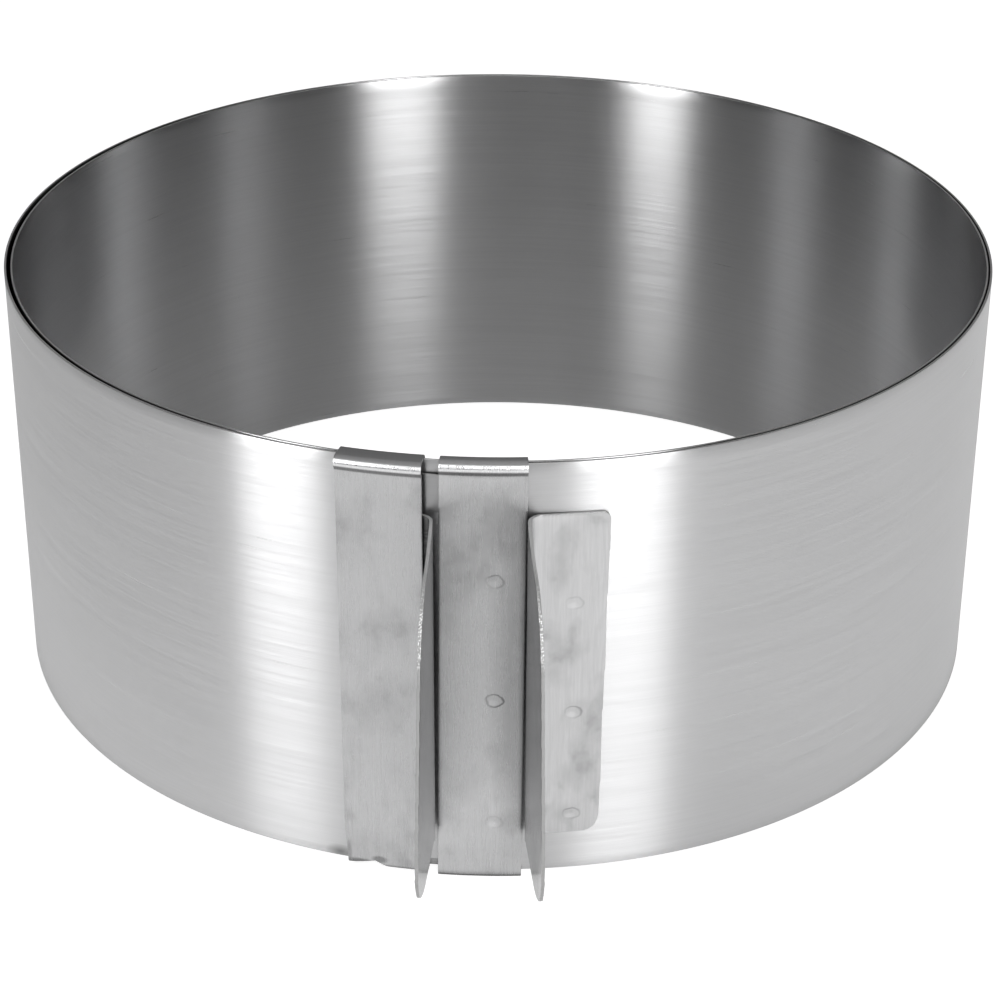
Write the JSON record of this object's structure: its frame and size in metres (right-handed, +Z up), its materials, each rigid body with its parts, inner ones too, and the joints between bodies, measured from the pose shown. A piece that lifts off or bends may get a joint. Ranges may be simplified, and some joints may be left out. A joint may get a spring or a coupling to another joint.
{
  "type": "adjustable cake ring",
  "caption": "Adjustable round baking ring: a thin steel strip wound round itself, with folded straps over its rim and upright ears that slide the turns along each other.",
  "frame": {"origin": "under the middle of the whole ring, ears included, at the level of the straps' hems that it stands on", "axes": "+Z up along the ring's axis, -Y out of the front where the ears stand out, +X to the right of someone who faces the ears"},
  "size_m": [0.1634, 0.1894, 0.072],
  "materials": {
    "band_steel": "stainless steel strip, brushed along its length",
    "strap_steel": "stainless steel sheet, brushed up and down, duller than the strip",
    "handle_steel": "stainless steel sheet, brushed up and down, a little cloudy, with bright cut edges"
  },
  "bodies": {
    "inner_end": {"inner_turn": "band_steel", "left_strap": "strap_steel", "left_handle": "handle_steel"},
    "outer_end": {"outer_turn": "band_steel", "right_strap": "strap_steel", "right_handle": "handle_steel"}
  },
  "joints": [
    {"name": "ring_adjust", "type": "hinge", "parent": "inner_end", "child": "outer_end", "pos_m": [0.00019, 0.0132, 0], "axis": [0, 0, 1], "range_deg": [0, 310]}
  ]
}
